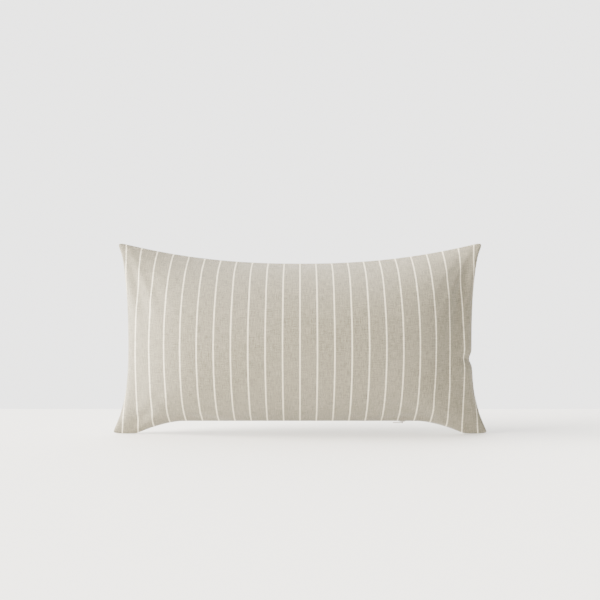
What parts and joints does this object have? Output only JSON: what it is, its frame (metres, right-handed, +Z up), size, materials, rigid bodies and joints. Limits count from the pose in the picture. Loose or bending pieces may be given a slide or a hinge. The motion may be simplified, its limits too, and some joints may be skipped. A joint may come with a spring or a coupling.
{
  "type": "throw pillow",
  "caption": "Lumbar throw pillow: a striped woven cover with pointed corners and a concealed zip in its bottom seam, over a stuffed inner pad.",
  "frame": {"origin": "on the floor, under the middle of the seam plane, with the pillow standing on its two lower corners", "axes": "+X along the width, +Z up, the front panel faces -Y"},
  "size_m": [0.602, 0.142, 0.307],
  "materials": {
    "cover_cloth": "woven, pinstriped",
    "sewing_thread": "spun polyester",
    "zip_tape": "knitted tape",
    "zip_nylon": "satin",
    "zip_metal": "satin lacquer",
    "label_satin": "satin ribbon",
    "shell_cotton": "plain cotton",
    "fibre": "loose polyester fibre"
  },
  "bodies": {
    "pillow": {"cover_front": "cover_cloth", "cover_back": "cover_cloth", "needle_thread": "sewing_thread", "bobbin_thread": "sewing_thread", "overlock_thread": "sewing_thread", "zip_tape_front": "zip_tape", "zip_tape_back": "zip_tape", "zip_coil_front": "zip_nylon", "zip_coil_back": "zip_nylon", "zip_top_stops": "zip_metal", "zip_bottom_stop": "zip_metal", "zip_stitch_front": "sewing_thread", "zip_stitch_back": "sewing_thread", "care_label": "label_satin", "insert_front": "shell_cotton", "insert_back": "shell_cotton", "insert_thread": "sewing_thread", "insert_closing_thread": "sewing_thread", "insert_label": "label_satin", "insert_fill": "fibre"},
    "slider": {"zip_slider": "zip_metal"},
    "pull": {"zip_pull": "zip_metal"}
  },
  "joints": [
    {"name": "zip_slide", "type": "slide", "parent": "pillow", "child": "slider", "axis": [-1, 0, 0], "range_m": [0, 0.3269]},
    {"name": "pull_swing", "type": "hinge", "parent": "slider", "child": "pull", "pos_m": [0.16345, 0, 0.01779], "axis": [0, -1, 0], "range_deg": [0, 175]}
  ]
}
